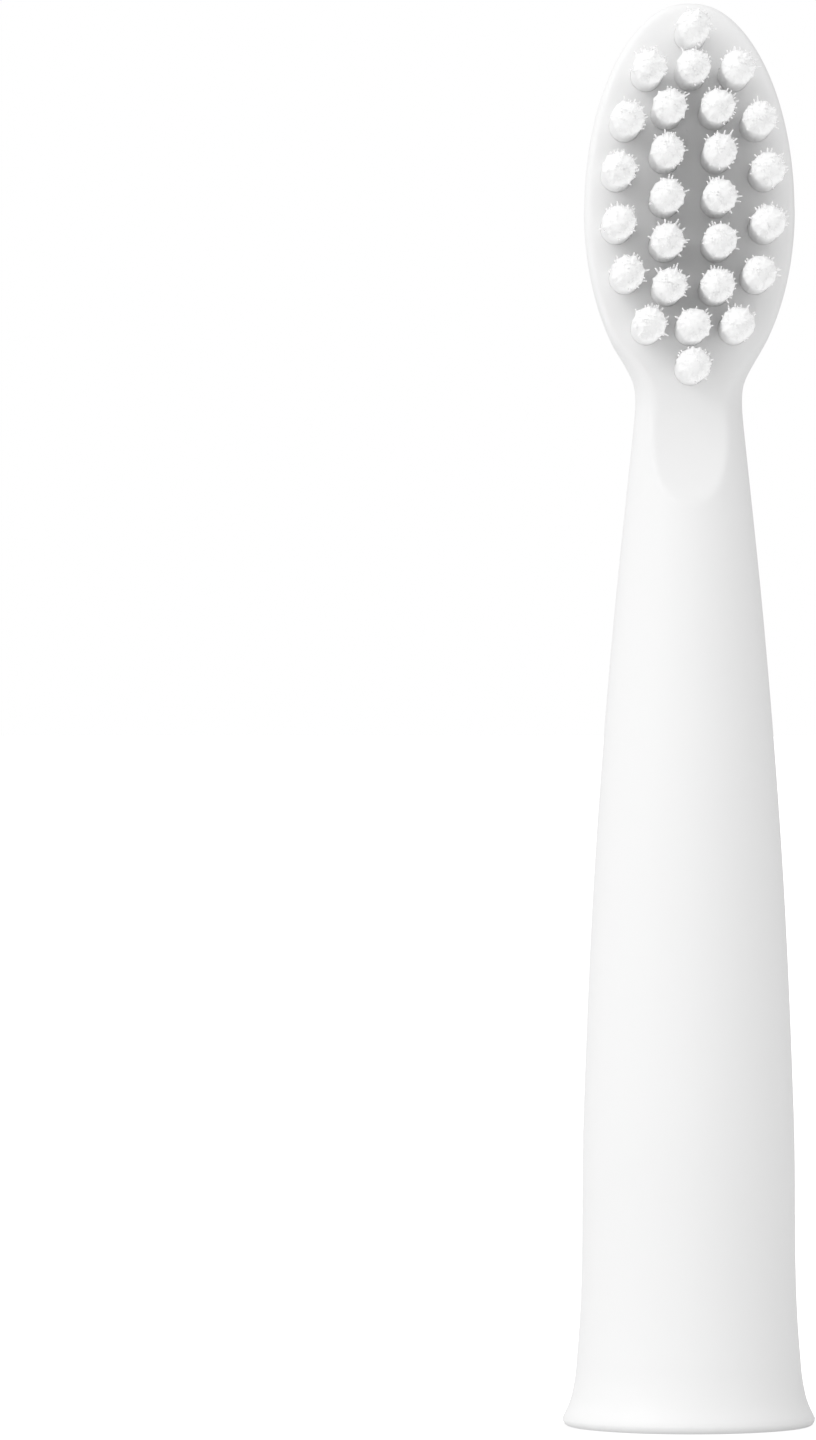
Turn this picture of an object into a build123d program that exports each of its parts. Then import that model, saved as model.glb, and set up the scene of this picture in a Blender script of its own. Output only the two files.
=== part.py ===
from build123d import *
from math import atan2, cos, degrees, pi, sqrt
import os

# Electric toothbrush head. The origin is the centre of the base rim, +Z runs up the stem and the
# bristles point to -Y. Millimetres.

# Stem, outside, as heights and radii of its tapers
lip_foot_radius = 6.75
lip_low = 0.12
lip_low_radius = 7.0
lip_height = 0.42
rim_radius = 7.12
flare_low = 1.3
flare_low_radius = 6.71
flare_high = 2.5
flare_high_radius = 6.43
skirt_height = 4.2
skirt_radius = 6.26
lower_height = 17.5
lower_radius = 5.9
middle_height = 31.5
middle_radius = 5.28
upper_height = 44.5
upper_radius = 4.29
neck_height = 57.3
neck_radius = 2.98

# Bristle head, seen from the front
widest_height = 68.3
oval_half_width = 5.885
head_rise = 11.7
head_drop = 10.6
neck_blend = 6.0
neck_side_gap = 0.02

# Bristle head, seen from the side
face_front = 2.2
rim_bevel_depth = 0.7
rim_bevel_inset = 0.42
back_at_neck = 3.05
back_at_tip = 1.9
back_round = 9.0
tip_round = 3.2
neck_spread = 0.5

# Scallop that carries the bristle face down into the stem
scallop_top = 57.2
scallop_round = 11.2
scallop_turn = 45.0

# Hollow of the stem
mouth_radius = 4.8
mouth_chamfer = 0.3
shoulder_height = 18.0
seat_radius = 3.3
seat_length = 24.0

# Drive socket
flange_height = 2.5
flange_radius = 4.6
barrel_gap = 0.03
barrel_length = 23.5
barrel_chamfer = 0.4
guide_radius = 2.05
guide_length = 8.0
guide_chamfer = 0.5
drive_radius = 1.75
drive_flat = 1.15
drive_length = 14.0
key_width = 1.0
key_height = 0.5
key_length = 10.0
key_gap = 0.03

# Shaft clip and its pocket behind the flat of the bore
pocket_start = 1.0
pocket_length = 12.0
pocket_width = 2.4
pocket_floor = 2.0
clip_width = 2.2
clip_thickness = 0.25
clip_length = 11.4
clip_foot = 1.2
clip_bow = 0.75

# Tufts and their anchors
pattern_rise = 0.4
hole_radius = 0.9
hole_depth = 2.4
tuft_gap = 0.02
tuft_free_length = 8.3
tuft_sides = 16
crown_height = 0.22
crown_inset = 0.2
anchor_gap = 0.003
anchor_height = 1.3
anchor_thickness = 0.3

# Tuft places, as distance from the centre line and height above the pattern's centre, which sits
# a little above the head's widest place
end_tuft = (0.0, 9.35)
row_middle = (0.0, 7.15)
row_side = (2.45, 7.1)
inner_end = (1.33, 4.95)
inner_next = (1.45, 2.48)
inner_centre = (1.45, 0.0)
outer_end = (3.65, 4.27)
outer_next = (4.13, 1.47)

overall = 100.0


def outlined(*lines):
    """Flat face inside lines that close on themselves."""
    return make_face([edge for line in lines for edge in line.edges()])


def turned(*points):
    """Solid of revolution about the stem's axis, from corners given as radius and height."""
    return revolve(Plane.XZ * outlined(Polyline(*points, points[0])), Axis.Z)


def block(low, high):
    """Box between two corners."""
    size = [b - a for a, b in zip(low, high)]
    return Pos(*low) * Box(*size, align=(Align.MIN, Align.MIN, Align.MIN))


def upright(radius, low, high):
    """Round bar about the stem's axis between two heights."""
    return Pos(0, 0, low) * Cylinder(radius, high - low, align=(Align.CENTER, Align.CENTER, Align.MIN))


def half_width(z):
    """Half of the head's width below its widest place, an oval that runs out into the neck."""
    t = (widest_height - z) / head_drop
    oval = oval_half_width * sqrt(max(1 - t * t, 0))
    return (oval**neck_blend + (neck_radius + neck_side_gap) ** neck_blend) ** (1 / neck_blend)


# Stem with its lip, flare and tapers
stem = turned(
    (0, 0),
    (lip_foot_radius, 0),
    (lip_low_radius, lip_low),
    (rim_radius, lip_height),
    (flare_low_radius, flare_low),
    (flare_high_radius, flare_high),
    (skirt_radius, skirt_height),
    (lower_radius, lower_height),
    (middle_radius, middle_height),
    (upper_radius, upper_height),
    (neck_radius, neck_height),
    (0, neck_height),
)

# Head: oval plate with a bevelled front rim, a rounded back and shoulders that spread from the round neck
tip_height = widest_height + head_rise
head_length = tip_height - neck_height
side_points = []
for share in (1, 0.76, 0.55, 0.39, 0.27, 0.17, 0.08, 0):
    z = neck_height + (widest_height - neck_height) * share
    side_points.append((half_width(z), z))
right_side = Spline(*side_points, tangents=[(0, -1), (0, -1)])
left_side = Spline(*[(-x, z) for x, z in side_points], tangents=[(0, -1), (0, -1)])
oval_top = EllipticalCenterArc((0, widest_height), half_width(widest_height), head_rise, 0, arc_size=180)
foot_edge = Line(left_side @ 1, right_side @ 1)
plate = extrude(
    Plane.XZ.offset(face_front) * outlined(oval_top, right_side, left_side, foot_edge), -2 * back_at_neck
)
rim = plate.faces().sort_by(Axis.Y)[0].edges().sort_by(Axis.Z)[1:]
plate = chamfer(rim, rim_bevel_depth, rim_bevel_inset)
back_lean = degrees(atan2(back_at_neck - back_at_tip, head_length))
rounded_back = Pos(0, back_at_neck - back_round, neck_height) * Rot(back_lean, 0, 0) * Cylinder(
    back_round, overall
)
shoulders = turned(
    (0, neck_height),
    (neck_radius, neck_height),
    (neck_radius + neck_spread * head_length, tip_height),
    (0, tip_height),
)
head = plate & rounded_back & shoulders
back_edge = Line((back_at_neck, neck_height), (back_at_tip, tip_height))
tip_edge = JernArc(back_edge @ (1 - tip_round / head_length), back_edge % 1, tip_round, 90)
behind_tip = Polyline(tip_edge @ 1, (0, overall), (overall, overall), (overall, (tip_edge @ 0).Y), tip_edge @ 0)
head -= extrude(Plane.YZ * outlined(tip_edge, behind_tip), overall, both=True)
body = stem + head

# Bristle face and scallop, drawn from the side and cut right across the front
face_edge = Line((-face_front, overall), (-face_front, scallop_top))
slope_edge = JernArc(face_edge @ 1, (0, -1), scallop_round, -scallop_turn)
in_front = Polyline(slope_edge @ 1, (-overall, (slope_edge @ 1).Y), (-overall, overall), face_edge @ 0)
body -= extrude(Plane.YZ * outlined(face_edge, slope_edge, in_front), overall, both=True)

# Hollow of the stem: skirt, shoulder, seat of the drive socket with its two keyways
seat_top = shoulder_height + seat_length
hollow = turned(
    (0, 0),
    (mouth_radius + mouth_chamfer, 0),
    (mouth_radius, mouth_chamfer),
    (mouth_radius, shoulder_height),
    (seat_radius, shoulder_height),
    (seat_radius, seat_top),
    (0, seat_top),
)
key_half = key_width / 2
keys = block(
    (-seat_radius - key_height, -key_half, shoulder_height),
    (seat_radius + key_height, key_half, shoulder_height + key_length),
)
keyways = block(
    (-seat_radius - key_height - key_gap, -key_half - key_gap, shoulder_height),
    (seat_radius + key_height + key_gap, key_half + key_gap, shoulder_height + key_length + key_gap),
)
body -= [hollow, keyways]

# Tuft places, read row by row from the tip
pattern_height = widest_height + pattern_rise
above = [end_tuft, row_middle, row_side, inner_end, outer_end, inner_next, outer_next]
places = set()
for x, rise in above + [inner_centre]:
    for side in (-1, 1):
        for way in (-1, 1):
            places.add((side * x + 0.0, pattern_height + way * rise))
places = sorted(places, key=lambda place: (-place[1], place[0]))

# Tufts, anchors and holes, made once at the origin with the tuft's foot at the back
hole_floor = hole_depth - face_front
foot_plane = Plane((0, hole_floor, 0), x_dir=(1, 0, 0), z_dir=(0, -1, 0))


def bundle(radius, length):
    """Many-sided bar that runs forward from the floor of a tuft's hole."""
    return extrude(foot_plane * RegularPolygon(radius, tuft_sides, rotation=180 / tuft_sides), length)


hole = bundle(hole_radius, 2 * hole_depth)
tuft = bundle(hole_radius - tuft_gap, hole_depth + tuft_free_length)
tuft = chamfer(tuft.faces().sort_by(Axis.Y)[0].edges(), crown_height, crown_inset)
anchor_half = hole_radius * cos(pi / tuft_sides) - anchor_gap
anchor = block(
    (-anchor_half, hole_floor - anchor_height, -anchor_thickness / 2),
    (anchor_half, hole_floor, anchor_thickness / 2),
)
tuft -= anchor
spots = [Pos(x, 0, z) for x, z in places]
body -= [spot * hole for spot in spots]

# Drive socket: flange against the shoulder, keyed barrel, round guide bore, then the flatted drive bore
flange_foot = shoulder_height - flange_height
barrel_radius = seat_radius - barrel_gap
barrel_top = shoulder_height + barrel_length
drive_start = flange_foot + guide_length
drive_end = drive_start + drive_length
socket = turned(
    (0, flange_foot),
    (flange_radius, flange_foot),
    (flange_radius, shoulder_height),
    (barrel_radius, shoulder_height),
    (barrel_radius, barrel_top - barrel_chamfer),
    (barrel_radius - barrel_chamfer, barrel_top),
    (0, barrel_top),
)
socket += keys
guide = turned(
    (0, flange_foot),
    (guide_radius + guide_chamfer, flange_foot),
    (guide_radius, flange_foot + guide_chamfer),
    (guide_radius, drive_start),
    (0, drive_start),
)
beyond_flat = block((-drive_radius, drive_flat, drive_start), (drive_radius, 2 * drive_radius, drive_end))
drive_bore = upright(drive_radius, drive_start, drive_end) - beyond_flat
pocket_foot = drive_start + pocket_start
pocket = block(
    (-pocket_width / 2, 0, pocket_foot),
    (pocket_width / 2, pocket_floor, pocket_foot + pocket_length),
)
socket -= [guide, drive_bore, pocket]

# Shaft clip: a bowed leaf with its two feet on the floor of the pocket
clip_low = pocket_foot + (pocket_length - clip_length) / 2
clip_high = clip_low + clip_length
clip_middle = (clip_low + clip_high) / 2


def leaf_line(back):
    """One side of the leaf, seen from the side of the brush."""
    bow = ThreePointArc(
        (back, clip_low + clip_foot), (back - clip_bow, clip_middle), (back, clip_high - clip_foot)
    )
    return [Line((back, clip_low), bow @ 0), bow, Line(bow @ 1, (back, clip_high))]


leaf_front = pocket_floor - clip_thickness
leaf = leaf_line(pocket_floor) + leaf_line(leaf_front)
leaf += [Line((leaf_front, z), (pocket_floor, z)) for z in (clip_low, clip_high)]
clip = extrude(Plane.YZ * outlined(*leaf), clip_width / 2, both=True)

os.makedirs("parts", exist_ok=True)
nodes = {
    "brush_body": body,
    "tuft_anchors": Compound([spot * anchor for spot in spots]),
    "drive_socket": socket,
    "shaft_clip": clip,
}
for number, spot in enumerate(spots, 1):
    nodes[f"tuft_{number:02d}"] = spot * tuft
for name, shape in nodes.items():
    export_step(shape, f"parts/{name}.step")
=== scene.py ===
from math import cos, pi, radians, remainder, sin, sqrt
from random import Random

import bmesh
import bpy
import numpy as np
from bpy.props import FloatProperty, FloatVectorProperty, IntProperty, PointerProperty
from mathutils import Matrix, Vector


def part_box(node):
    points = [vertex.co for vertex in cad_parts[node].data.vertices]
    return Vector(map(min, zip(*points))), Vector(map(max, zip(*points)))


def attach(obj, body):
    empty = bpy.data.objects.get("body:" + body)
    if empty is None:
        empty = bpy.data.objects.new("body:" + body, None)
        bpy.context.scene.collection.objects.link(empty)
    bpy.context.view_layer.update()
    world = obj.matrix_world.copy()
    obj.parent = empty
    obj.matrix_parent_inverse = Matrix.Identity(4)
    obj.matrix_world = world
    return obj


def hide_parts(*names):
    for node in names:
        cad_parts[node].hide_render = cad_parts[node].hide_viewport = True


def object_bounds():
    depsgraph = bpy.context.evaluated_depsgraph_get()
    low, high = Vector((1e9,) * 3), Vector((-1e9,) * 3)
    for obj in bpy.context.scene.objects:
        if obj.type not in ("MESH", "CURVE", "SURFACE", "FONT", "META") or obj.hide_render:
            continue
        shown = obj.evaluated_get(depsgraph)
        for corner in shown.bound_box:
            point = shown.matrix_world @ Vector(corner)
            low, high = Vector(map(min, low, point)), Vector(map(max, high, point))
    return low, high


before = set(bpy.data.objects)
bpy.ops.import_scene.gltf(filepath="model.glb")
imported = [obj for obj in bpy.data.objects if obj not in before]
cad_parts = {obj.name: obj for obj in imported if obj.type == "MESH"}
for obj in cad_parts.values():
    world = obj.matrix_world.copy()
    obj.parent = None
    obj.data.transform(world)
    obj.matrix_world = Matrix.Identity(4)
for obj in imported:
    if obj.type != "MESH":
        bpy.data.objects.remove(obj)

bl_info = {
    "name": "Toothbrush head",
    "version": (1, 0, 0),
    "blender": (4, 5, 0),
    "location": "View3D > Sidebar > Brush head",
    "description": "Dresses the solids of an electric toothbrush head and sets it on a studio floor",
    "category": "Object",
}

BODY = "root"
MM = 0.001
CAD_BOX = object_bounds()
BODY_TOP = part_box("brush_body")[1].z
TUFT_NODES = sorted(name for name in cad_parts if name.startswith("tuft_") and name != "tuft_anchors")
SHARED_GROUPS = {}

# Fineness of the meshes
BODY_SIDES = 216
HOLE_SIDES = 32
CORE_SIDES = 96
FILAMENT_SIDES = 7
FLOOR_SIDES = 64
BODY_SHARP = radians(38)
BRISTLE_SHARP = radians(50)

# Cuts in the body: a turn that keeps the holes' corners off the lines of the body's mesh, how far a keyway
# starts below the shoulder, and the distance within which points are joined afterwards
HOLE_TURN = radians(4.1)
KEYWAY_START = 0.5 * MM
WELD_DISTANCE = 0.0005 * MM

# Rings of a filament, as depth below its end and how far it has widened from its point there. The first
# depth is cut off at the filament's foot.
FILAMENT_RINGS = (
    (1.0, 1.0),
    (3 * MM, 1.0),
    (1.6 * MM, 1.0),
    (1.0 * MM, 1.0),
    (0.5 * MM, 0.6),
    (0.0, 0.0),
)

# Filament ends: width of a loose and of a packed one, how far out in a tuft ends come loose, and how far
# below the end they start to bend
LOOSE_POINT = 0.42
PACKED_POINT = 0.75
LOOSE_FROM = 0.8
BEND_LENGTH = 1.6 * MM

# Core of a tuft: height above the face where it has drawn in, how slim it then is, the depths of its rings
# below the top, and the shares of its radius where the domed top has rings
CORE_FOOT = 1.5 * MM
CORE_SLIM = 0.98
CORE_DEPTHS = (3 * MM, 1.6 * MM, 1.1 * MM)
DOME_SHARES = (0.975, 0.93, 0.86, 0.76, 0.63, 0.46, 0.28, 0.1)

# Studio: direction away from its brightest part, places of the two softboxes, and the softboxes' width
SHADE_SIDE = (0.62, 0.42, -0.66)
KEY_PLACE = Vector((-0.36, -0.3, 0.34))
FRONT_PLACE = Vector((-0.02, -0.6, 0.06))
SOFTBOX_WIDTH = 0.3

# Radius of the stem at heights above the rim, from the flare's edge to the neck, in millimetres
STEM_STATIONS = (
    (0.42, 7.11),
    (1.3, 6.71),
    (2.5, 6.43),
    (4.2, 6.26),
    (17.5, 5.92),
    (31.5, 5.29),
    (44.5, 4.29),
    (57.3, 2.98),
)


class BodySizes(bpy.types.PropertyGroup):
    """Sizes of the moulded body."""

    lip_inset: FloatProperty(
        name="Lip inset",
        description="How far the lip draws in below the rim",
        default=0.37 * MM,
        unit="LENGTH",
    )
    widest_height: FloatProperty(
        name="Widest height",
        description="Height of the head's widest place",
        default=68.3 * MM,
        unit="LENGTH",
    )
    head_half_width: FloatProperty(
        name="Head half width", description="Half of the head's width", default=5.9 * MM, unit="LENGTH"
    )
    head_drop: FloatProperty(
        name="Head drop", description="Oval's length below its widest place", default=10.6 * MM, unit="LENGTH"
    )
    face_front: FloatProperty(
        name="Face front",
        description="Bristle face in front of the stem's axis",
        default=2.2 * MM,
        unit="LENGTH",
    )
    rim_softness: FloatProperty(
        name="Face rim",
        description="Width of the bristle face's rounded rim",
        default=0.5 * MM,
        unit="LENGTH",
    )
    back_at_neck: FloatProperty(
        name="Back at neck",
        description="Depth of the head's back at the neck",
        default=3.05 * MM,
        unit="LENGTH",
    )
    back_at_tip: FloatProperty(
        name="Back at tip", description="Depth of the head's back at its tip", default=1.9 * MM, unit="LENGTH"
    )
    back_round: FloatProperty(
        name="Back round", description="Radius of the head's back", default=9.0 * MM, unit="LENGTH"
    )
    tip_round: FloatProperty(
        name="Tip round", description="Radius behind the head's tip", default=3.2 * MM, unit="LENGTH"
    )
    scallop_top: FloatProperty(
        name="Scallop top", description="Height of the scallop's upper end", default=57.2 * MM, unit="LENGTH"
    )
    scallop_round: FloatProperty(
        name="Scallop round", description="Radius of the scallop's slope", default=11.2 * MM, unit="LENGTH"
    )
    mouth_radius: FloatProperty(
        name="Mouth radius", description="Inside radius of the stem's mouth", default=4.8 * MM, unit="LENGTH"
    )
    mouth_chamfer: FloatProperty(
        name="Mouth chamfer", description="Bevel inside the mouth", default=0.3 * MM, unit="LENGTH"
    )
    shoulder_height: FloatProperty(
        name="Shoulder", description="Height of the shoulder in the hollow", default=18.0 * MM, unit="LENGTH"
    )
    seat_radius: FloatProperty(
        name="Seat radius", description="Radius of the drive socket's seat", default=3.3 * MM, unit="LENGTH"
    )
    seat_top: FloatProperty(
        name="Seat top", description="Height of the seat's roof", default=42.0 * MM, unit="LENGTH"
    )
    keyway_reach: FloatProperty(
        name="Keyway reach",
        description="How far a keyway reaches from the axis",
        default=3.83 * MM,
        unit="LENGTH",
    )
    keyway_width: FloatProperty(
        name="Keyway width", description="Width of a keyway in the seat", default=1.06 * MM, unit="LENGTH"
    )
    keyway_top: FloatProperty(
        name="Keyway top", description="Height of a keyway's closed end", default=28.03 * MM, unit="LENGTH"
    )
    hole_radius: FloatProperty(
        name="Tuft hole", description="Radius of a tuft's hole", default=0.89 * MM, unit="LENGTH"
    )


class TuftSizes(bpy.types.PropertyGroup):
    """Sizes of the filaments in a tuft."""

    filaments: IntProperty(name="Filaments", description="Filaments in a tuft", default=104)
    foot_radius: FloatProperty(
        name="Foot radius", description="Radius of a tuft in its hole", default=0.88 * MM, unit="LENGTH"
    )
    free_length: FloatProperty(
        name="Free length",
        description="Length of a tuft in front of the face",
        default=8.3 * MM,
        unit="LENGTH",
    )
    filament_radius: FloatProperty(
        name="Filament radius", description="Radius of one filament", default=0.08 * MM, unit="LENGTH"
    )
    unevenness: FloatProperty(
        name="Unevenness",
        description="How far filament ends differ in length",
        default=0.3 * MM,
        unit="LENGTH",
    )
    locks: IntProperty(name="Locks", description="Pointed locks of filaments round a crown", default=11)
    lock_reach: FloatProperty(
        name="Lock reach", description="How far the longest lock stands out", default=0.46 * MM, unit="LENGTH"
    )
    splay: FloatProperty(
        name="Splay", description="How far loose outer ends lean outwards", default=0.34 * MM, unit="LENGTH"
    )
    stray: FloatProperty(
        name="Stray", description="How far an end wanders by chance", default=0.03 * MM, unit="LENGTH"
    )
    core_drop: FloatProperty(
        name="Core drop",
        description="How far below the ends the core starts",
        default=0.24 * MM,
        unit="LENGTH",
    )
    dome: FloatProperty(
        name="Dome", description="How much lower the crown is at its edge", default=0.95 * MM, unit="LENGTH"
    )
    fan: FloatProperty(
        name="Fan", description="How much wider the tuft is at its crown", default=0.07 * MM, unit="LENGTH"
    )
    lobe: FloatProperty(
        name="Lobe", description="How far the crown bulges out of round", default=0.06 * MM, unit="LENGTH"
    )
    loose_share: FloatProperty(
        name="Loose share",
        description="Share of outer filaments that stand out",
        default=0.8,
        subtype="FACTOR",
    )
    loose_turn: FloatProperty(
        name="Loose side",
        description="Where round a tuft most ends stand out, from the right upwards",
        default=radians(50),
        subtype="ANGLE",
    )
    seed: IntProperty(name="Seed", description="Start of the chance lengths and leans", default=26)


class Finishes(bpy.types.PropertyGroup):
    """Colours of the finishes."""

    body: FloatVectorProperty(
        name="Body", description="White moulded plastic", default=(0.86, 0.86, 0.86), size=3, subtype="COLOR"
    )
    bristle: FloatVectorProperty(
        name="Bristle", description="White nylon", default=(0.94, 0.94, 0.94), size=3, subtype="COLOR"
    )
    # Painted glow: emission that gives the nylon light of its own, in place of light carried through the
    # clear filaments
    painted_bristle_glow: FloatProperty(
        name="Bristle glow", description="Light that comes through the clear filaments", default=0.15
    )
    socket: FloatVectorProperty(
        name="Socket", description="Natural acetal", default=(0.74, 0.74, 0.7), size=3, subtype="COLOR"
    )
    anchor: FloatVectorProperty(
        name="Anchor", description="Rolled brass", default=(0.72, 0.56, 0.28), size=3, subtype="COLOR"
    )
    clip: FloatVectorProperty(
        name="Clip", description="Spring steel", default=(0.58, 0.58, 0.6), size=3, subtype="COLOR"
    )
    floor: FloatVectorProperty(
        name="Floor", description="Pale studio floor", default=(0.8, 0.8, 0.8), size=3, subtype="COLOR"
    )


class StageSettings(bpy.types.PropertyGroup):
    """Camera and light."""

    camera_place: FloatVectorProperty(
        name="Camera",
        description="Place of the camera",
        default=(-0.0158, -0.52, 0.0397),
        size=3,
        subtype="XYZ",
    )
    lens: FloatProperty(name="Lens", description="Focal length of the camera in millimetres", default=230.9)
    key_power: FloatProperty(
        name="Key light", description="Power of the upper left softbox", default=0.4, unit="POWER"
    )
    front_power: FloatProperty(
        name="Front light", description="Power of the front softbox", default=0.12, unit="POWER"
    )
    floor_glow: FloatProperty(
        name="Floor glow", description="Light that the backlit floor gives", default=0.55
    )
    floor_opening: FloatProperty(
        name="Floor opening",
        description="Radius of the opening under the rim",
        default=7.2 * MM,
        unit="LENGTH",
    )
    sky_left: FloatProperty(
        name="Left wall", description="Brightness of the studio's front left side", default=1.2
    )
    sky_right: FloatProperty(
        name="Right wall", description="Brightness of the studio's back right side", default=0.39
    )


# Shader node groups and materials


def new_group(name, inputs, outputs):
    """Shader node group with named float inputs and named outputs, and its two end nodes."""
    group = bpy.data.node_groups.new(name, "ShaderNodeTree")
    for label, value in inputs.items():
        socket = group.interface.new_socket(name=label, in_out="INPUT", socket_type="NodeSocketFloat")
        socket.default_value = value
    for label in outputs:
        group.interface.new_socket(name=label, in_out="OUTPUT", socket_type="NodeSocketFloat")
    return group, group.nodes.new("NodeGroupInput"), group.nodes.new("NodeGroupOutput")


def add_node(tree, kind, **settings):
    """Node of a kind in a tree, with attributes set by name."""
    node = tree.nodes.new(kind)
    for label, value in settings.items():
        setattr(node, label, value)
    return node


def scaled(tree, value, low, high):
    """Socket that carries a 0 to 1 value over to the range from low to high."""
    node = add_node(tree, "ShaderNodeMapRange")
    tree.links.new(value, node.inputs["Value"])
    for label, end in (("To Min", low), ("To Max", high)):
        if isinstance(end, bpy.types.NodeSocket):
            tree.links.new(end, node.inputs[label])
        else:
            node.inputs[label].default_value = end
    return node.outputs["Result"]


def noise(tree, place, scale, detail=3.0):
    """Noise texture value at a place, at a scale that is a number or a socket."""
    node = add_node(tree, "ShaderNodeTexNoise")
    tree.links.new(place, node.inputs["Vector"])
    if isinstance(scale, bpy.types.NodeSocket):
        tree.links.new(scale, node.inputs["Scale"])
    else:
        node.inputs["Scale"].default_value = scale
    node.inputs["Detail"].default_value = detail
    return node.outputs["Fac"]


def link_finish(group, given, result, pattern, relief):
    """Tone and gloss that follow a pattern, and a relief, joined to a group's outputs."""
    darkest = add_node(group, "ShaderNodeMath", operation="SUBTRACT")
    darkest.inputs[0].default_value = 1.0
    group.links.new(given.outputs["Tone change"], darkest.inputs[1])
    group.links.new(scaled(group, pattern, darkest.outputs[0], 1.0), result.inputs["Tone"])
    gloss = scaled(group, pattern, given.outputs["Gloss low"], given.outputs["Gloss high"])
    group.links.new(gloss, result.inputs["Gloss"])
    group.links.new(relief, result.inputs["Relief"])


def moulded_skin_group():
    """Tone, gloss and fine relief of a moulded surface."""
    group, given, result = new_group(
        "Moulded skin",
        {"Flow scale": 90.0, "Grain scale": 5200.0, "Tone change": 0.03, "Gloss low": 0.3, "Gloss high": 0.4},
        ("Tone", "Gloss", "Relief"),
    )
    place = add_node(group, "ShaderNodeTexCoord").outputs["Object"]
    flow = noise(group, place, given.outputs["Flow scale"])
    grain = noise(group, place, given.outputs["Grain scale"], detail=2.0)
    link_finish(group, given, result, flow, grain)
    return group


def rolled_metal_group():
    """Tone, gloss and relief of metal strip, streaked the way that it was rolled."""
    group, given, result = new_group(
        "Rolled metal",
        {"Streak scale": 9000.0, "Tone change": 0.2, "Gloss low": 0.2, "Gloss high": 0.4},
        ("Tone", "Gloss", "Relief"),
    )
    place = add_node(group, "ShaderNodeTexCoord").outputs["Object"]
    stretch = add_node(group, "ShaderNodeMapping")
    stretch.inputs["Scale"].default_value = (1.0, 1.0, 0.03)
    group.links.new(place, stretch.inputs["Vector"])
    streak = noise(group, stretch.outputs["Vector"], given.outputs["Streak scale"], detail=4.0)
    link_finish(group, given, result, streak, streak)
    return group


def finish_material(name, colour, group_maker, values, relief, shader):
    """Material whose tone, gloss and relief come from a shared group, with constants set on its shader."""
    relief_depth = 0.02 * MM
    material = bpy.data.materials.new(name)
    material.use_nodes = True
    tree = material.node_tree
    surface = tree.nodes["Principled BSDF"]
    if group_maker not in SHARED_GROUPS:
        SHARED_GROUPS[group_maker] = group_maker()
    skin = add_node(tree, "ShaderNodeGroup", node_tree=SHARED_GROUPS[group_maker])
    for label, value in values.items():
        skin.inputs[label].default_value = value
    tint = add_node(tree, "ShaderNodeMix", data_type="RGBA", blend_type="MULTIPLY")
    tint.inputs["Factor"].default_value = 1.0
    tint.inputs["A"].default_value = (*colour, 1.0)
    tree.links.new(skin.outputs["Tone"], tint.inputs["B"])
    tree.links.new(tint.outputs["Result"], surface.inputs["Base Color"])
    tree.links.new(skin.outputs["Gloss"], surface.inputs["Roughness"])
    bump = add_node(tree, "ShaderNodeBump")
    bump.inputs["Strength"].default_value = relief
    bump.inputs["Distance"].default_value = relief_depth
    tree.links.new(skin.outputs["Relief"], bump.inputs["Height"])
    tree.links.new(bump.outputs["Normal"], surface.inputs["Normal"])
    for label, value in shader.items():
        surface.inputs[label].default_value = value
    return material


# Meshes


def add_piece(name, mesh, material, slot, *nodes):
    """Object of the brush head that stands for solids, with its finish."""
    piece = bpy.data.objects.new(name, mesh)
    bpy.context.scene.collection.objects.link(piece)
    mesh.materials.append(material)
    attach(piece, BODY)
    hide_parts(*nodes)
    return piece


def smooth_max(one, two, softness):
    """Larger of two distances, rounded over where they are within the softness of each other."""
    share = np.clip(0.5 + 0.5 * (one - two) / softness, 0.0, 1.0)
    return two + (one - two) * share + softness * share * (1.0 - share)


def smooth_step(value, low, high):
    """Rises smoothly from 0 at the low value to 1 at the high one."""
    share = np.clip((value - low) / (high - low), 0.0, 1.0)
    return share * share * (3.0 - 2.0 * share)


def stem_radius(height):
    """Radius of the stem at heights, on a smooth curve through its stations."""
    at, radius = np.array(STEM_STATIONS).T * MM
    slope = np.gradient(radius, at)
    height = np.clip(height, at[0], at[-1])
    left = np.clip(np.searchsorted(at, height, side="right") - 1, 0, len(at) - 2)
    step = at[left + 1] - at[left]
    t = (height - at[left]) / step
    start = radius[left] * (1 + 2 * t) * (1 - t) ** 2 + slope[left] * step * t * (1 - t) ** 2
    end = radius[left + 1] * t**2 * (3 - 2 * t) + slope[left + 1] * step * t**2 * (t - 1)
    return start + end


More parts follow.
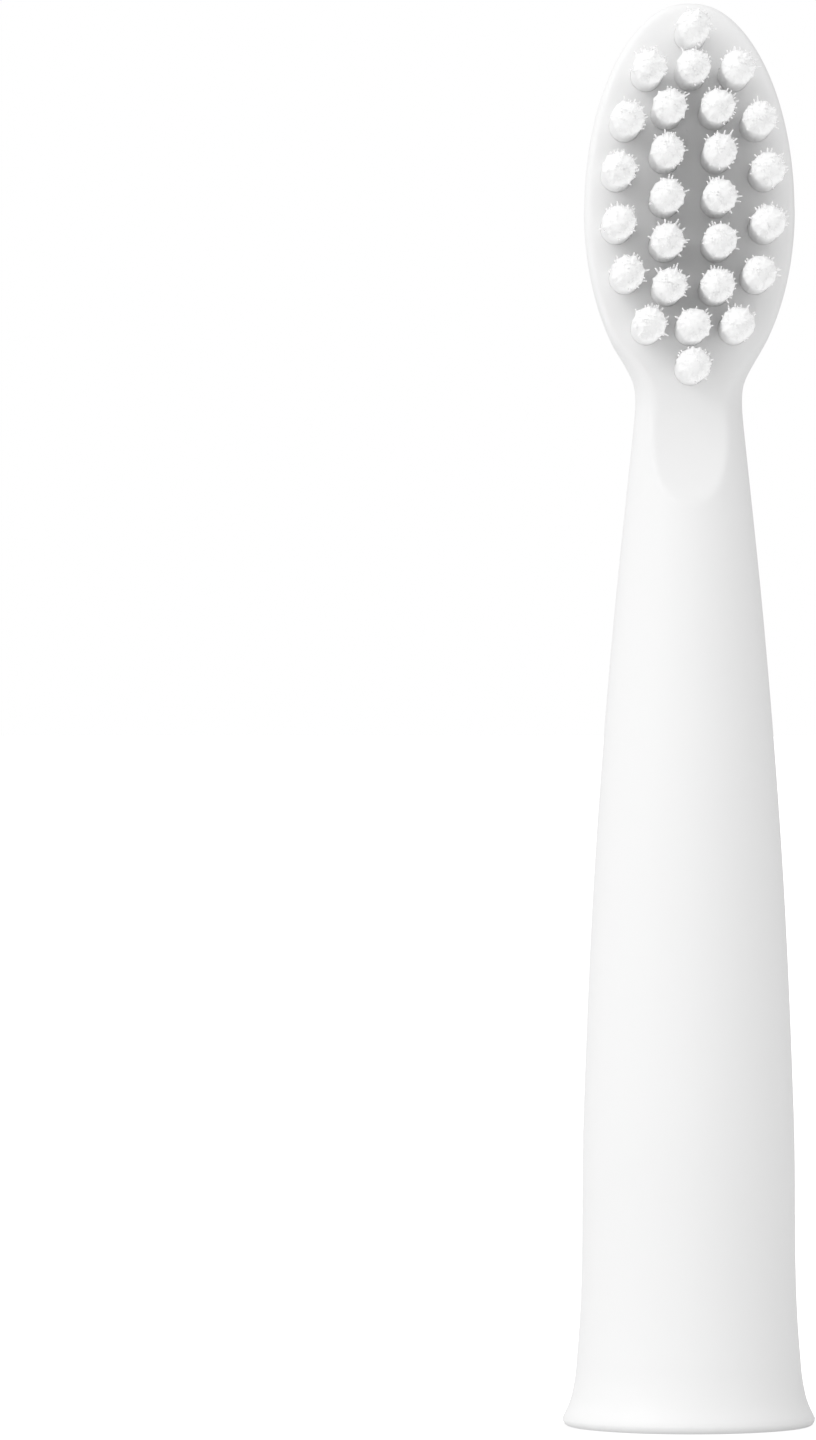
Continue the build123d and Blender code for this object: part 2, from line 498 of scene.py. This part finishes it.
class BodyForm:
    """Outside of the body as one formula that is below zero inside and above zero outside."""

    far_inside = -1.0

    # Neck: power of its blend with the oval, spread of the back below it, and of the shoulders above it
    neck_blend = 6.0
    neck_spread = 0.5
    neck_fade = 0.004
    neck_softness = 0.1 * MM
    shoulder_spread = 0.9
    shoulder_start = 3 * MM

    # Sides of the head: room that they leave round the neck, and how softly they meet the stem on the way up
    side_room = 0.03 * MM
    side_start = 3 * MM
    side_softness_low = 0.02 * MM
    side_softness_more = 0.4 * MM

    # Back of the head: how far it goes on below the neck, and how soft its edges are on the way up
    back_below_neck = 2 * MM
    back_softness_low = 0.45 * MM
    back_softness_more = 0.6 * MM
    tip_lift = 0.5 * MM
    tip_softness = 0.4 * MM

    # Bristle face: where its soft rim takes over from the crisp edge of the scallop
    face_from = -4 * MM
    face_to = 7 * MM
    face_ease = 0.38
    scallop_softness = 0.14 * MM

    def __init__(self, sizes):
        self.sizes = sizes
        self.neck_height = STEM_STATIONS[-1][0] * MM
        self.neck_radius = STEM_STATIONS[-1][1] * MM
        self.tip_height = BODY_TOP
        self.head_rise = self.tip_height - sizes.widest_height

    def half_width(self, height):
        """Half of the head's width at heights below its widest place, running out into the neck."""
        t = (self.sizes.widest_height - height) / self.sizes.head_drop
        oval = self.sizes.head_half_width * np.sqrt(np.clip(1 - t * t, 0.0, 1.0))
        power = self.neck_blend
        return (oval**power + self.neck_radius**power) ** (1 / power)

    def front_depth(self, height):
        """Depth of the bristle face in front of the axis, running out through the scallop below it."""
        s = self.sizes
        fall = np.clip(s.scallop_top - height, 0.0, s.scallop_round)
        return s.face_front + s.scallop_round - np.sqrt(s.scallop_round**2 - fall**2)

    def back_depth(self, height):
        """Depth of the head's back behind the axis, far off below the neck."""
        s = self.sizes
        share = (height - self.neck_height) / (self.tip_height - self.neck_height)
        depth = s.back_at_neck + (s.back_at_tip - s.back_at_neck) * share
        return depth + np.clip(self.neck_height - height, 0.0, None) * self.neck_spread

    def distance(self, x, y, z):
        """About the distance of points from the surface, with every edge rounded over."""
        s = self.sizes
        least = 1e-6

        # Stem, and shoulders that spread from the neck
        rise = np.clip(z - self.neck_height, 0.0, None)
        start = np.clip(rise, 0.0, self.shoulder_start)
        eased = rise - start + start**2 / (2 * self.shoulder_start)
        spread = self.neck_radius + self.shoulder_spread * eased
        round_limit = smooth_max(stem_radius(z) - self.neck_fade * rise, spread, self.neck_softness)
        form = np.hypot(x, y) - round_limit

        # Oval sides of the head
        lower_side = np.abs(x) - self.half_width(z)
        above_widest = np.clip(z - s.widest_height, 0.0, None)
        stretch = np.sqrt((x / s.head_half_width) ** 2 + (above_widest / self.head_rise) ** 2)
        steep = np.hypot(x / s.head_half_width**2, above_widest / self.head_rise**2)
        steep = steep / np.maximum(stretch, least)
        upper_side = (stretch - 1) / np.maximum(steep, least)
        side = np.where(z > s.widest_height, upper_side, lower_side)
        side = np.where(z < self.neck_height, self.far_inside, side)
        above_neck = smooth_step(z, self.neck_height, self.neck_height + self.side_start)
        softness = self.side_softness_low + self.side_softness_more * above_neck
        form = smooth_max(form, side - self.side_room * (1 - above_neck), softness)

        # Back of the head, rounded behind its tip
        back = np.hypot(x, y - self.back_depth(z) + s.back_round) - s.back_round
        back = np.where(z < self.neck_height - self.back_below_neck, self.far_inside, back)
        tip_y = s.back_at_tip - s.tip_round
        tip_z = self.tip_height - s.tip_round + self.tip_lift
        tip = np.hypot(np.clip(y - tip_y, 0, None), np.clip(z - tip_z, 0, None)) - s.tip_round
        back = smooth_max(back, np.where(z > tip_z, tip, self.far_inside), self.tip_softness)
        up_head = smooth_step(z, self.neck_height, s.widest_height)
        form = smooth_max(form, back, self.back_softness_more * up_head + self.back_softness_low)

        # Bristle face and scallop
        up_face = smooth_step(z, s.scallop_top + self.face_from, s.scallop_top + self.face_to)
        front = (-y - self.front_depth(z)) * (1 - self.face_ease * up_face)
        softness = self.scallop_softness + (s.rim_softness - self.scallop_softness) * up_face
        return smooth_max(form, front, softness)

    def surface(self, origin, direction):
        """Points where rays from inside leave the body. Origin and direction are arrays of vectors."""
        longest = 2.5
        halvings = 42
        near = np.zeros(direction.shape[:-1])
        far = np.full(direction.shape[:-1], longest)
        for _ in range(halvings):
            middle = (near + far) / 2
            point = origin + direction * middle[..., None]
            inside = self.distance(point[..., 0], point[..., 1], point[..., 2]) < 0
            near = np.where(inside, middle, near)
            far = np.where(inside, far, middle)
        return origin + direction * near[..., None]


def ring_of_points(around, radius, height):
    """Level ring of points round the stem's axis."""
    angle = np.arange(around) * 2 * pi / around
    return np.stack([radius * np.cos(angle), radius * np.sin(angle), np.full(around, height)], axis=-1)


def body_rings(sizes, around):
    """Rings of points from the rim of the mouth, over the outside, to the tip of the head."""
    form = BodyForm(sizes)
    rim_height, rim_radius = (value * MM for value in STEM_STATIONS[0])
    circle = ring_of_points(around, 1.0, 0.0)

    # Lip
    rings = []
    lip_rings = 8
    for turn in np.linspace(0, pi / 2, lip_rings + 1)[:-1]:
        radius = rim_radius - sizes.lip_inset * (1 - np.sin(turn))
        rings.append(circle * radius + (0, 0, rim_height * (1 - np.cos(turn))))

    # Level rings, closest at the scallop's lower end, as the upper end of each stretch and the rings up to it
    stretches = (
        (4.5 * MM, 15),
        (50.5 * MM, 39),
        (53 * MM, 25),
        (sizes.scallop_top, 21),
        (sizes.widest_height, 51),
    )
    heights = np.array([rim_height])
    for end, count in stretches:
        heights = np.concatenate([heights, np.linspace(heights[-1], end, count + 1)[1:]])
    head_from = form.neck_height - 4 * MM
    head_to = form.neck_height + 6 * MM
    square = 0.42
    level = []
    for height in heights:
        head = smooth_step(height, head_from, head_to)
        power = 1 - square * head
        wide = form.half_width(height) if height > form.neck_height else stem_radius(height)
        deep = stem_radius(height) * (1 - head) + sizes.face_front * head
        level.append(ring_directions(circle, wide, deep, power))
    origin = np.zeros((len(heights), around, 3))
    origin[..., 2] = heights[:, None]
    rings += list(form.surface(origin, np.array(level)))

    # Rings that fan out from the widest place to the tip
    fan_rings = 72
    rise = np.linspace(0, pi / 2, fan_rings + 2)[1:-1]
    flat = ring_directions(circle, sizes.head_half_width, sizes.face_front, 1 - square)
    fan = flat[None] * np.cos(rise)[:, None, None]
    fan[..., 2] = form.head_rise * np.sin(rise)[:, None]
    widest = np.array((0, 0, sizes.widest_height))
    rings += list(form.surface(widest, fan))
    tip = form.surface(widest, np.array([[0, 0, form.head_rise]]))
    return rings, tip[0]


def ring_directions(circle, wide, deep, power):
    """Directions all round, spaced for a section of that half width and half depth."""
    direction = np.zeros_like(circle)
    direction[:, 0] = wide * np.sign(circle[:, 0]) * np.abs(circle[:, 0]) ** power
    direction[:, 1] = deep * np.sign(circle[:, 1]) * np.abs(circle[:, 1]) ** power
    return direction


def body_mesh(sizes):
    """Closed mesh of the body: outside, mouth, hollow and seat."""
    around = BODY_SIDES
    rings, tip = body_rings(sizes, around)
    hollow = [
        (sizes.seat_radius, sizes.seat_top),
        (sizes.seat_radius, sizes.shoulder_height),
        (sizes.mouth_radius, sizes.shoulder_height),
        (sizes.mouth_radius, sizes.mouth_chamfer),
        (sizes.mouth_radius + sizes.mouth_chamfer, 0.0),
    ]
    rings = [ring_of_points(around, radius, height) for radius, height in hollow] + rings
    points = np.concatenate([*rings, [tip]])
    faces = []
    for ring in range(len(rings) - 1):
        for i in range(around):
            j = (i + 1) % around
            low, high = ring * around, (ring + 1) * around
            faces.append((low + i, low + j, high + j, high + i))
    last = (len(rings) - 1) * around
    faces += [(last + i, last + (i + 1) % around, len(points) - 1) for i in range(around)]
    faces.append(tuple(reversed(range(around))))
    mesh = bpy.data.meshes.new("brush_body_shell")
    mesh.from_pydata(points.tolist(), [], faces)
    mesh.update()
    return mesh


def hole_cutter(sizes):
    """Tuft holes and the keyways across the seat as one mesh of separate bars."""
    shape = bmesh.new()
    for node in TUFT_NODES:
        low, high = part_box(node)
        length = high.y + 2 * sizes.face_front
        made = bmesh.ops.create_cone(
            shape,
            cap_ends=True,
            segments=HOLE_SIDES,
            radius1=sizes.hole_radius,
            radius2=sizes.hole_radius,
            depth=length,
        )
        bmesh.ops.rotate(shape, verts=made["verts"], matrix=Matrix.Rotation(HOLE_TURN, 3, "Z"))
        for vert in made["verts"]:
            x, y, z = vert.co
            vert.co = ((low.x + high.x) / 2 + x, high.y - length / 2 + z, (low.z + high.z) / 2 - y)
    keyway_foot = sizes.shoulder_height - KEYWAY_START
    for vert in bmesh.ops.create_cube(shape, size=1.0)["verts"]:
        x, y, z = vert.co
        height = keyway_foot if z < 0 else sizes.keyway_top
        vert.co = (2 * sizes.keyway_reach * x, sizes.keyway_width * y, height)
    bmesh.ops.recalc_face_normals(shape, faces=shape.faces)
    mesh = bpy.data.meshes.new("tuft_holes")
    shape.to_mesh(mesh)
    shape.free()
    return mesh


def cut(mesh, cutter_mesh):
    """Mesh with another closed mesh taken out of it, and points that then coincide joined."""
    scene = bpy.context.scene
    whole = bpy.data.objects.new("whole", mesh)
    cutter = bpy.data.objects.new("cutter", cutter_mesh)
    for thing in (whole, cutter):
        scene.collection.objects.link(thing)
    change = whole.modifiers.new("holes", "BOOLEAN")
    change.operation = "DIFFERENCE"
    change.solver = "EXACT"
    change.object = cutter
    done = bpy.data.meshes.new_from_object(whole.evaluated_get(bpy.context.evaluated_depsgraph_get()))
    for thing in (whole, cutter):
        bpy.data.objects.remove(thing)
    for used in (mesh, cutter_mesh):
        bpy.data.meshes.remove(used)
    shape = bmesh.new()
    shape.from_mesh(done)
    bmesh.ops.remove_doubles(shape, verts=shape.verts, dist=WELD_DISTANCE)
    shape.to_mesh(done)
    shape.free()
    return done


def close_bar(faces, start, rings, sides):
    """Faces of a closed bar whose rings of points follow each other from a start."""
    for ring in range(rings - 1):
        for k in range(sides):
            a, b = start + ring * sides + k, start + ring * sides + (k + 1) % sides
            faces.append((a, b, b + sides, a + sides))
    last = start + (rings - 1) * sides
    faces.append(tuple(last + k for k in range(sides)))
    faces.append(tuple(start + sides - 1 - k for k in range(sides)))


def add_filament(points, faces, rings, outwards, twist):
    """Closed bar round rings given as centre x, centre z, depth y, radius and tilt to an outward angle."""
    sides = FILAMENT_SIDES
    start = len(points)
    for x, z, y, radius, tilt in rings:
        for k in range(sides):
            turn = twist + 2 * pi * k / sides
            fall = tilt * radius * cos(turn - outwards)
            points.append((x + radius * cos(turn), y + fall, z + radius * sin(turn)))
    close_bar(faces, start, len(rings), sides)


class Crown:
    """Form of a tuft's crown, out of round and drawn out into small pointed locks."""

    steepest = 1.4

    # Lobes: waves round the crown, range of their heights, and how fast they fade down the tuft
    lobe_waves = (2, 3, 5)
    lobe_heights = (0.4, 1.0)
    lobe_fade = 4

    # Locks: how far one strays from its place, range of their reach and half angle, what the loose side adds
    # to their reach, the depths where they start and are full, and how they curve out between
    lock_stray = 0.3
    lock_reaches = (0.25, 1.0)
    lock_half_angles = (0.1, 0.22)
    lock_favour = 0.25
    lock_foot = 1.6 * MM
    lock_full = 0.4 * MM
    lock_curve = 1.5

    def __init__(self, sizes, chance):
        self.lobes = []
        for waves in self.lobe_waves:
            height = sizes.lobe * chance.uniform(*self.lobe_heights) / waves
            self.lobes.append((waves, height, chance.uniform(0, 2 * pi)))
        self.locks = []
        for number in range(sizes.locks):
            turn = 2 * pi * (number + chance.uniform(-self.lock_stray, self.lock_stray)) / sizes.locks
            favour = 1 - self.lock_favour + self.lock_favour * cos(turn - sizes.loose_turn)
            reach = sizes.lock_reach * favour * chance.uniform(*self.lock_reaches)
            self.locks.append((turn, reach, chance.uniform(*self.lock_half_angles)))
        self.dome = sizes.dome
        self.radius = sizes.foot_radius
        self.fan = sizes.fan
        self.length = sizes.free_length

    def drop(self, out):
        """How much lower the crown is at a share of its radius."""
        return self.dome * (1 - sqrt(1 - out * out))

    def slope(self, out):
        """How steeply the crown falls away at a share of its radius."""
        return min(self.dome * out / (self.radius * sqrt(1 - out * out)), self.steepest)

    def push(self, angle, below):
        """How far the tuft's side stands out in a direction, at a depth below its highest end."""
        bulge = sum(height * cos(waves * angle + start) for waves, height, start in self.lobes)
        point = 0.0
        for turn, height, half_angle in self.locks:
            point = max(point, height * (1 - abs(remainder(angle - turn, 2 * pi)) / half_angle))
        near_crown = min(max((self.lock_foot - below) / (self.lock_foot - self.lock_full), 0.0), 1.0)
        along = max(1 - below / self.length, 0.0)
        return bulge * along**self.lobe_fade + self.fan * along + point * near_crown**self.lock_curve


def tuft_mesh(node, number, sizes):
    """Bundle of filaments in the place of a tuft's solid, packed tight round a core, with an uneven crown."""
    seeds_apart = 100
    shortest_lean = 0.4
    chance = Random(sizes.seed * seeds_apart + number)
    low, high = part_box(node)
    centre = ((low.x + high.x) / 2, (low.z + high.z) / 2)
    reach = sizes.foot_radius - sizes.filament_radius
    golden = pi * (3 - 5**0.5)
    spin = chance.uniform(0, 2 * pi)
    crown = Crown(sizes, chance)
    points = []
    faces = []
    add_core(points, faces, centre, low.y + sizes.core_drop, high.y, sizes, crown)
    for i in range(sizes.filaments):
        out = ((i + 0.5) / sizes.filaments) ** 0.5
        angle = golden * i + spin
        share = sizes.loose_share * (0.5 + 0.5 * cos(angle - sizes.loose_turn))
        loose = out > LOOSE_FROM and chance.random() < share
        lean = sizes.splay * chance.uniform(shortest_lean, 1.0) if loose else 0.0
        sway = [chance.gauss(0, sizes.stray) for _ in range(2)]
        tip = low.y + sizes.unevenness * chance.random() + crown.drop(out)
        length = high.y - tip
        point = LOOSE_POINT if loose else PACKED_POINT
        rings = []
        for below, widened in FILAMENT_RINGS:
            below = min(below, length)
            bend = max(1 - below / BEND_LENGTH, 0.0) ** 2
            radius = reach * out + crown.push(angle, below + tip - low.y) * out**3 + lean * bend
            x = centre[0] + radius * cos(angle) + sway[0] * bend
            z = centre[1] + radius * sin(angle) + sway[1] * bend
            width = sizes.filament_radius * (point + (1 - point) * widened)
            tilt = 0.0 if below else crown.slope(out)
            rings.append((x, z, tip + below, width, tilt))
        add_filament(points, faces, rings, angle, chance.uniform(0, pi))
    mesh = bpy.data.meshes.new(f"bristles_{number:02d}")
    mesh.from_pydata(points, [], faces)
    mesh.shade_smooth()
    mesh.set_sharp_from_angle(angle=BRISTLE_SHARP)
    return mesh


def add_core(points, faces, centre, top, bottom, sizes, crown):
    """Domed inside of a tuft, where the filaments touch each other."""
    sides = CORE_SIDES
    start = len(points)
    free = sizes.free_length
    profile = [(bottom - top, 1.0), (free, 1.0)]
    profile += [(below, CORE_SLIM) for below in (free - CORE_FOOT, *CORE_DEPTHS)]
    profile += [(crown.drop(share), share) for share in DOME_SHARES]
    for below, share in profile:
        for k in range(sides):
            angle = 2 * pi * k / sides
            radius = sizes.foot_radius * share + crown.push(angle, below + sizes.core_drop) * share**3
            points.append((centre[0] + radius * cos(angle), top + below, centre[1] + radius * sin(angle)))
    close_bar(faces, start, len(profile), sides)


# Operators


class BRUSH_OT_body(bpy.types.Operator):
    """Moulded body with its scallop, flare, hollow and tuft holes"""

    bl_idname = "brush_head.body"
    bl_label = "Body"

    def execute(self, context):
        sizes = context.scene.brush_body
        mesh = cut(body_mesh(sizes), hole_cutter(sizes))
        mesh.name = "brush_body_shell"
        mesh.shade_smooth()
        mesh.set_sharp_from_angle(angle=BODY_SHARP)
        material = finish_material(
            "white_moulded_plastic",
            context.scene.brush_finishes.body,
            moulded_skin_group,
            {"Tone change": 0.02, "Gloss low": 0.36, "Gloss high": 0.46},
            relief=0.04,
            shader={"IOR": 1.46},
        )
        add_piece("body_shell", mesh, material, "body", "brush_body")
        return {"FINISHED"}


class BRUSH_OT_tufts(bpy.types.Operator):
    """Tufts of separate nylon filaments"""

    bl_idname = "brush_head.tufts"
    bl_label = "Tufts"

    def execute(self, context):
        material = finish_material(
            "white_nylon",
            context.scene.brush_finishes.bristle,
            moulded_skin_group,
            {"Flow scale": 3500.0, "Tone change": 0.04, "Gloss low": 0.4, "Gloss high": 0.55},
            relief=0.05,
            shader={"IOR": 1.53, "Emission Strength": context.scene.brush_finishes.painted_bristle_glow},
        )
        # Painted glow on the tufts' shaded sides and forward-facing ends
        self.paint_bristle_glow(material)
        for number, node in enumerate(TUFT_NODES, 1):
            mesh = tuft_mesh(node, number, context.scene.brush_tufts)
            add_piece(mesh.name, mesh, material, "bristle", node)
        return {"FINISHED"}

    def paint_bristle_glow(self, material):
        """Painted light: emission on a tuft's shaded side near its ends and on its forward-facing ends, in
        place of light that clear filaments let through and carry to their ends.
        """
        tree = material.node_tree
        place = add_node(tree, "ShaderNodeTexCoord")
        depth = add_node(tree, "ShaderNodeSeparateXYZ")
        tree.links.new(place.outputs["Object"], depth.inputs["Vector"])
        facing = add_node(tree, "ShaderNodeSeparateXYZ")
        tree.links.new(place.outputs["Normal"], facing.inputs["Vector"])
        turned_away = add_node(tree, "ShaderNodeVectorMath", operation="DOT_PRODUCT")
        turned_away.inputs[1].default_value = SHADE_SIDE
        tree.links.new(place.outputs["Normal"], turned_away.inputs[0])
        # Painted light: glow on sides turned away from the studio's bright side near the ends, and on ends
        # that face forward
        front = CAD_BOX[0].y
        near_ends = self.fade(tree, depth.outputs["Y"], none=front + 7 * MM, full=front + 1 * MM, most=1.0)
        shaded = self.fade(tree, turned_away.outputs["Value"], none=0.0, full=0.5, most=1.0)
        ends = self.fade(tree, facing.outputs["Y"], none=-0.3, full=-0.9, most=0.22)
        side = add_node(tree, "ShaderNodeMath", operation="MULTIPLY")
        tree.links.new(near_ends, side.inputs[0])
        tree.links.new(shaded, side.inputs[1])
        glow = add_node(tree, "ShaderNodeMath", operation="MAXIMUM")
        tree.links.new(side.outputs["Value"], glow.inputs[0])
        tree.links.new(ends, glow.inputs[1])
        tree.links.new(glow.outputs["Value"], tree.nodes["Principled BSDF"].inputs["Emission Color"])

    def fade(self, tree, value, none, full, most):
        """Socket that rises smoothly from 0 to the most between two values."""
        node = add_node(tree, "ShaderNodeMapRange", interpolation_type="SMOOTHSTEP")
        for label, amount in (("From Min", none), ("From Max", full), ("To Max", most)):
            node.inputs[label].default_value = amount
        tree.links.new(value, node.inputs["Value"])
        return node.outputs["Result"]


class BRUSH_OT_inner_parts(bpy.types.Operator):
    """Finishes of the drive socket, shaft clip and tuft anchors"""

    bl_idname = "brush_head.inner_parts"
    bl_label = "Inner parts"

    def execute(self, context):
        finishes = context.scene.brush_finishes
        acetal = {"Flow scale": 300.0, "Tone change": 0.05, "Gloss low": 0.4, "Gloss high": 0.55}
        steel = {"Streak scale": 6000.0}
        metal = {"Metallic": 1.0}
        inner = {
            "drive_socket": finish_material(
                "natural_acetal", finishes.socket, moulded_skin_group, acetal, relief=0.08, shader={}
            ),
            "tuft_anchors": finish_material(
                "rolled_brass", finishes.anchor, rolled_metal_group, {}, relief=0.1, shader=metal
            ),
            "shaft_clip": finish_material(
                "spring_steel", finishes.clip, rolled_metal_group, steel, relief=0.1, shader=metal
            ),
        }
        for node, material in inner.items():
            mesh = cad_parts[node].data
            mesh.materials.clear()
            mesh.materials.append(material)
        return {"FINISHED"}


class BRUSH_OT_stage(bpy.types.Operator):
    """Pale floor, soft studio light and the camera"""

    bl_idname = "brush_head.stage"
    bl_label = "Stage"

    def execute(self, context):
        stage = context.scene.brush_stage
        self.floor(context, stage)
        self.studio(context, stage)
        self.softbox(context, "key_light", KEY_PLACE, stage.key_power)
        self.softbox(context, "front_light", FRONT_PLACE, stage.front_power)
        self.camera(context, stage)
        context.scene.view_settings.view_transform = "Standard"
        return {"FINISHED"}

    def camera(self, context, stage):
        """Level camera that looks along +Y, as far off as the photograph's perspective asks."""
        lens = bpy.data.cameras.new("camera")
        lens.lens = stage.lens
        lens.clip_start = 0.01
        lens.clip_end = 100.0
        camera = bpy.data.objects.new("camera", lens)
        context.scene.collection.objects.link(camera)
        camera.location = stage.camera_place
        camera.rotation_euler = (radians(90), 0, 0)
        context.scene.camera = camera

    def floor(self, context, stage):
        """Wide pale floor with an opening just wider than the rim, so that light gets into the hollow."""
        sides = FLOOR_SIDES
        gap = 0.02 * MM
        rings = [stage.floor_opening * reach for reach in (1, 3, 30, 300, 3000)]
        turns = [2 * pi * k / sides for k in range(sides)]
        points = [(ring * cos(turn), ring * sin(turn), 0.0) for ring in rings for turn in turns]
        faces = []
        for k in range(sides * (len(rings) - 1)):
            after = k + 1 - sides * ((k + 1) % sides == 0)
            faces.append((k, k + sides, after + sides, after))
        mesh = bpy.data.meshes.new("floor")
        mesh.from_pydata(points, [], faces)
        floor = bpy.data.objects.new("floor", mesh)
        context.scene.collection.objects.link(floor)
        floor.location.z = CAD_BOX[0].z - gap
        material = finish_material(
            "pale_floor",
            context.scene.brush_finishes.floor,
            moulded_skin_group,
            {"Flow scale": 2.0, "Tone change": 0.02, "Gloss low": 0.75, "Gloss high": 0.85},
            relief=0.0,
            shader={"Emission Strength": stage.floor_glow},
        )
        tree = material.node_tree
        surface = tree.nodes["Principled BSDF"]
        path = add_node(tree, "ShaderNodeLightPath")
        tree.links.new(path.outputs["Is Camera Ray"], surface.inputs["Emission Color"])
        facing = add_node(tree, "ShaderNodeNewGeometry")
        tree.links.new(scaled(tree, facing.outputs["Backfacing"], 1.0, 0.0), surface.inputs["Alpha"])
        mesh.materials.append(material)

    def studio(self, context, stage):
        """White surround for the camera, which lights the object more from the left than from the right."""
        world = bpy.data.worlds.new("studio")
        context.scene.world = world
        world.use_nodes = True
        tree = world.node_tree
        tree.nodes.clear()
        place = add_node(tree, "ShaderNodeTexCoord").outputs["Generated"]
        aim = add_node(tree, "ShaderNodeVectorMath", operation="DOT_PRODUCT")
        aim.inputs[1].default_value = SHADE_SIDE
        tree.links.new(place, aim.inputs[0])
        across = add_node(tree, "ShaderNodeMapRange")
        across.inputs["From Min"].default_value = -1.0
        across.inputs["To Min"].default_value = stage.sky_left
        across.inputs["To Max"].default_value = stage.sky_right
        tree.links.new(aim.outputs["Value"], across.inputs["Value"])
        given = add_node(tree, "ShaderNodeBackground")
        tree.links.new(across.outputs["Result"], given.inputs["Strength"])
        seen = add_node(tree, "ShaderNodeBackground")
        for light in (given, seen):
            light.inputs["Color"].default_value = (1.0, 1.0, 1.0, 1.0)
        choice = add_node(tree, "ShaderNodeMixShader")
        path = add_node(tree, "ShaderNodeLightPath")
        tree.links.new(path.outputs["Is Camera Ray"], choice.inputs["Fac"])
        tree.links.new(given.outputs["Background"], choice.inputs[1])
        tree.links.new(seen.outputs["Background"], choice.inputs[2])
        out = add_node(tree, "ShaderNodeOutputWorld")
        tree.links.new(choice.outputs["Shader"], out.inputs["Surface"])

    def softbox(self, context, name, place, power):
        """Square soft light at a place, aimed at the middle of the object."""
        target = (CAD_BOX[0] + CAD_BOX[1]) / 2
        light = bpy.data.lights.new(name, "AREA")
        light.shape = "SQUARE"
        light.size = SOFTBOX_WIDTH
        light.energy = power
        lamp = bpy.data.objects.new(name, light)
        context.scene.collection.objects.link(lamp)
        lamp.location = place
        lamp.rotation_euler = (target - place).to_track_quat("-Z", "Y").to_euler()


class BRUSH_PT_panel(bpy.types.Panel):
    """Settings and makers of the brush head"""

    bl_idname = "BRUSH_PT_panel"
    bl_label = "Brush head"
    bl_space_type = "VIEW_3D"
    bl_region_type = "UI"
    bl_category = "Brush head"

    def draw(self, context):
        for maker in OPERATORS:
            self.layout.operator(maker.bl_idname)
        for owner in SETTINGS:
            group = getattr(context.scene, owner)
            for label in group.bl_rna.properties.keys():
                if label not in ("rna_type", "name"):
                    self.layout.prop(group, label)


OPERATORS = (BRUSH_OT_body, BRUSH_OT_tufts, BRUSH_OT_inner_parts, BRUSH_OT_stage)
SETTINGS = {
    "brush_body": BodySizes,
    "brush_tufts": TuftSizes,
    "brush_finishes": Finishes,
    "brush_stage": StageSettings,
}


def register():
    """Adds the settings, operators and panel to Blender."""
    for group in SETTINGS.values():
        bpy.utils.register_class(group)
    for owner, group in SETTINGS.items():
        setattr(bpy.types.Scene, owner, PointerProperty(type=group))
    for maker in (*OPERATORS, BRUSH_PT_panel):
        bpy.utils.register_class(maker)


def unregister():
    """Takes the settings, operators and panel out of Blender."""
    for maker in reversed((*OPERATORS, BRUSH_PT_panel)):
        bpy.utils.unregister_class(maker)
    for owner in SETTINGS:
        delattr(bpy.types.Scene, owner)
    for group in reversed(SETTINGS.values()):
        bpy.utils.unregister_class(group)


def main():
    """Dresses the part and sets the stage."""
    register()
    bpy.ops.brush_head.body()
    bpy.ops.brush_head.tufts()
    bpy.ops.brush_head.inner_parts()
    bpy.ops.brush_head.stage()


if __name__ == "__main__":
    main()
